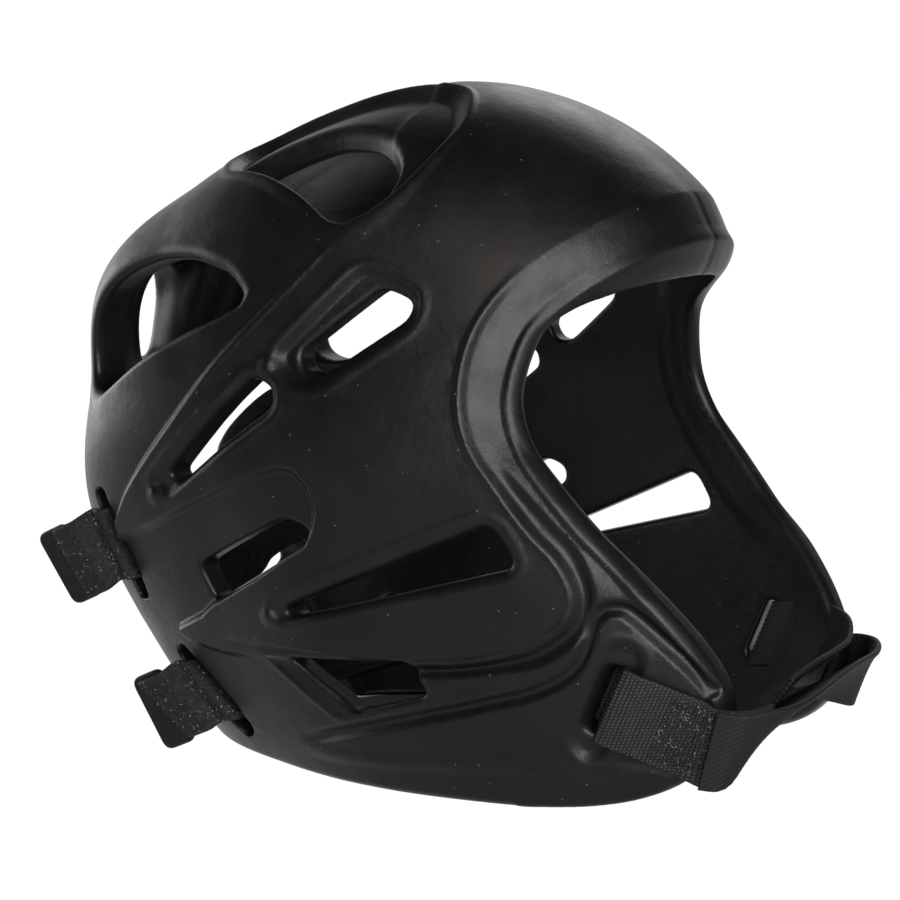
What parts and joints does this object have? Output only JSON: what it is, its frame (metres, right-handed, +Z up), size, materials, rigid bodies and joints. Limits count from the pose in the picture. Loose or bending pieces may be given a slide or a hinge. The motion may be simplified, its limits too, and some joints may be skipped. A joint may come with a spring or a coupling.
{
  "type": "head guard",
  "caption": "Moulded foam sports head guard with an open face, crown and side vents, a hook-and-loop chin strap and adjustable rear straps.",
  "frame": {"origin": "middle of the bounding box in x and y, at the bottom rim that it stands on", "axes": "+Z up, the face looks along -Y, the wearer's right is -X"},
  "size_m": [0.206, 0.2968, 0.2464],
  "materials": {
    "foam": "satin skin on moulded polyurethane foam",
    "webbing": "woven nylon webbing",
    "loop_pile": "fuzzy hook-and-loop pile",
    "tab_plastic": "smooth satin"
  },
  "bodies": {
    "root": {"shell": "foam", "chin_strap_right": "webbing", "chin_strap_left": "webbing", "rear_strap_upper": "loop_pile", "rear_tab_upper": "tab_plastic", "rear_strap_lower": "loop_pile", "rear_tab_lower": "tab_plastic"}
  },
  "joints": []
}
